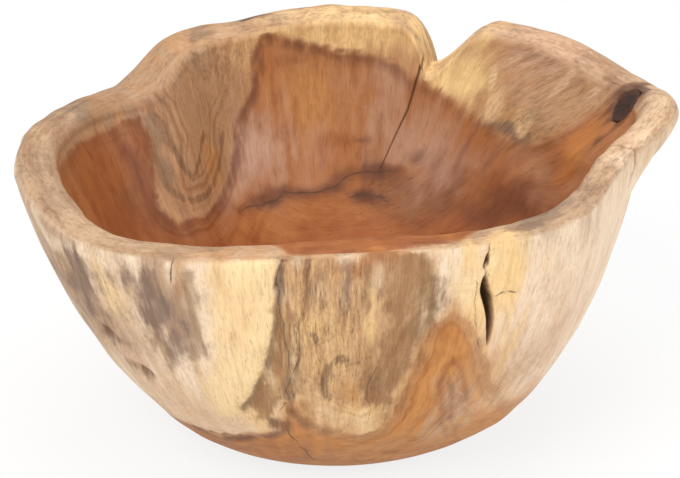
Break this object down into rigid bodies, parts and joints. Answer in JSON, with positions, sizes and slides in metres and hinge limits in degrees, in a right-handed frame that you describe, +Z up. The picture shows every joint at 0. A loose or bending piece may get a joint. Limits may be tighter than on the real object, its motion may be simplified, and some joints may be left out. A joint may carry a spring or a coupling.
{
  "type": "wooden bowl",
  "caption": "Natural-edge bowl carved from one piece of tree root, with a wavy rounded rim, a split notch, a rotted slot and a dead knot; it holds fruit or bread.",
  "frame": {"origin": "middle of the flat foot, on the surface that the bowl stands on", "axes": "+Z up out of the foot, +X along the longest way across the rim towards the flared lobe, +Y to the back, where the notch is"},
  "size_m": [0.3578, 0.3258, 0.1843],
  "materials": {
    "root_wood": "sanded and oiled, satin",
    "knot_wood": "dark, dull"
  },
  "bodies": {
    "root": {"bowl": "root_wood", "dead_knot": "knot_wood"}
  },
  "joints": []
}
